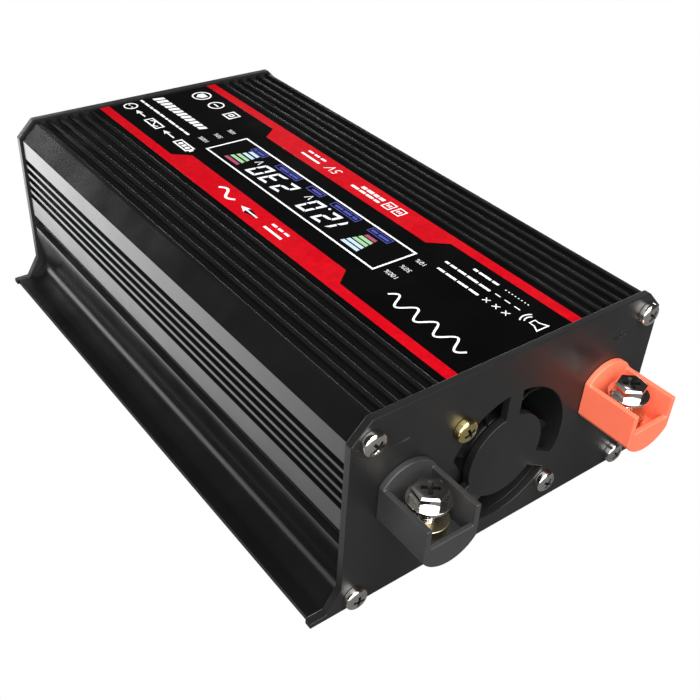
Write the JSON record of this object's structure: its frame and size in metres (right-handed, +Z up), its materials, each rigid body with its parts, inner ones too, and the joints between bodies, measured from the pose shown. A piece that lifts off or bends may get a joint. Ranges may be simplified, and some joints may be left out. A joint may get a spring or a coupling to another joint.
{
  "type": "power inverter",
  "caption": "Boxed 12 V to mains power inverter: finned black aluminium case on foot flanges, top display window, fan grille and screw terminals at one end, socket at the other.",
  "frame": {"origin": "middle of the whole object's footprint, on the surface that it stands on", "axes": "+X across the case to the positive terminal's side, +Y from the direct-current end to the mains end, +Z up"},
  "size_m": [0.11, 0.1864, 0.054],
  "materials": {
    "anodised_black": "black anodised extrusion, satin, fine lines along its length",
    "plate_black": "matte dark grey powder coat",
    "nickel": "bright nickel plate",
    "label_film": "near-black glossy printed film",
    "display_glass": "dark tinted window over lit figures",
    "black_plastic": "fine-grained black moulding",
    "grey_plastic": "satin dark grey moulding",
    "red_plastic": "satin tomato red moulding",
    "plated_brass": "tinned brass",
    "bright_brass": "stamped brass",
    "shell_steel": "tinned sheet steel",
    "blue_plastic": "blue insert",
    "circuit_board": "green solder mask",
    "bare_aluminium": "sawn extrusion",
    "ferrite": "dark grey sintered ferrite",
    "copper_wire": "enamelled copper",
    "winding_tape": "yellow wrapping tape",
    "capacitor_sleeve": "shrunk dark blue sleeve",
    "chip_epoxy": "moulded epoxy",
    "lead_red": "red insulation",
    "lead_black": "black insulation",
    "lead_brown": "brown insulation",
    "fuse_orange": "clear orange blade fuse body",
    "led_lens": "clear green-white lens",
    "insulation_film": "thin cream film",
    "ribbon_grey": "grey ribbon cable",
    "display_stack": "glass stack in a frame"
  },
  "bodies": {
    "root": {"top_housing": "anodised_black", "bottom_housing": "anodised_black", "dc_end_plate": "plate_black", "ac_end_plate": "plate_black", "dc_plate_screws": "nickel", "ac_plate_screws": "nickel", "top_label": "label_film", "display_window": "display_glass", "display_module": "display_stack", "display_board": "circuit_board", "display_ribbon": "ribbon_grey", "fan_frame": "black_plastic", "fan_stator": "copper_wire", "fan_screws": "nickel", "fan_nuts": "nickel", "fan_lead": "lead_red", "negative_cup": "grey_plastic", "positive_cup": "red_plastic", "negative_strip": "plated_brass", "positive_strip": "plated_brass", "mains_socket": "black_plastic", "socket_contacts": "bright_brass", "earth_clips": "bright_brass", "mains_leads": "lead_brown", "usb_shells": "shell_steel", "usb_tongues": "blue_plastic", "usb_board": "circuit_board", "usb_lead": "lead_black", "switch_frame": "black_plastic", "switch_blades": "bright_brass", "switch_leads": "lead_red", "status_leds": "led_lens", "main_board": "circuit_board", "insulation_sheet": "insulation_film", "transformer_cores": "ferrite", "transformer_windings": "winding_tape", "input_capacitors": "capacitor_sleeve", "bus_capacitor": "capacitor_sleeve", "heat_sinks": "bare_aluminium", "input_transistors": "chip_epoxy", "output_transistors": "chip_epoxy", "transistor_screws": "nickel", "filter_choke": "copper_wire", "fuses": "fuse_orange", "fuse_holders": "black_plastic", "buzzer": "black_plastic", "control_chips": "chip_epoxy"},
    "fan": {"fan_rotor": "black_plastic"},
    "rocker": {"switch_rocker": "black_plastic"},
    "negative_washer": {"negative_washer": "nickel"},
    "positive_washer": {"positive_washer": "nickel"},
    "negative_bolt": {"negative_bolt": "nickel"},
    "positive_bolt": {"positive_bolt": "nickel"}
  },
  "joints": [
    {"name": "fan_spin", "type": "hinge", "parent": "root", "child": "fan", "pos_m": [0, -0.07049, 0.0235], "axis": [0, 1, 0], "continuous": true},
    {"name": "power_switch", "type": "hinge", "parent": "root", "child": "rocker", "pos_m": [0.026, 0.08901, 0.0164], "axis": [1, 0, 0], "range_deg": [0, 18]},
    {"name": "negative_washer_slide", "type": "slide", "parent": "root", "child": "negative_washer", "axis": [0, 0, 1], "range_m": [-0.00439, 0.0007]},
    {"name": "negative_bolt_turn", "type": "hinge", "parent": "negative_washer", "child": "negative_bolt", "pos_m": [-0.0316, -0.08519, 0.0335], "axis": [0, 0, 1], "range_deg": [-2260, 360]},
    {"name": "positive_washer_slide", "type": "slide", "parent": "root", "child": "positive_washer", "axis": [0, 0, 1], "range_m": [-0.00439, 0.0007]},
    {"name": "positive_bolt_turn", "type": "hinge", "parent": "positive_washer", "child": "positive_bolt", "pos_m": [0.0316, -0.08519, 0.0335], "axis": [0, 0, 1], "range_deg": [-2260, 360]}
  ],
  "couplings": [
    {"joint": "negative_bolt_turn", "follows": "negative_washer_slide", "rad_per_m": 8976},
    {"joint": "positive_bolt_turn", "follows": "positive_washer_slide", "rad_per_m": 8976}
  ]
}
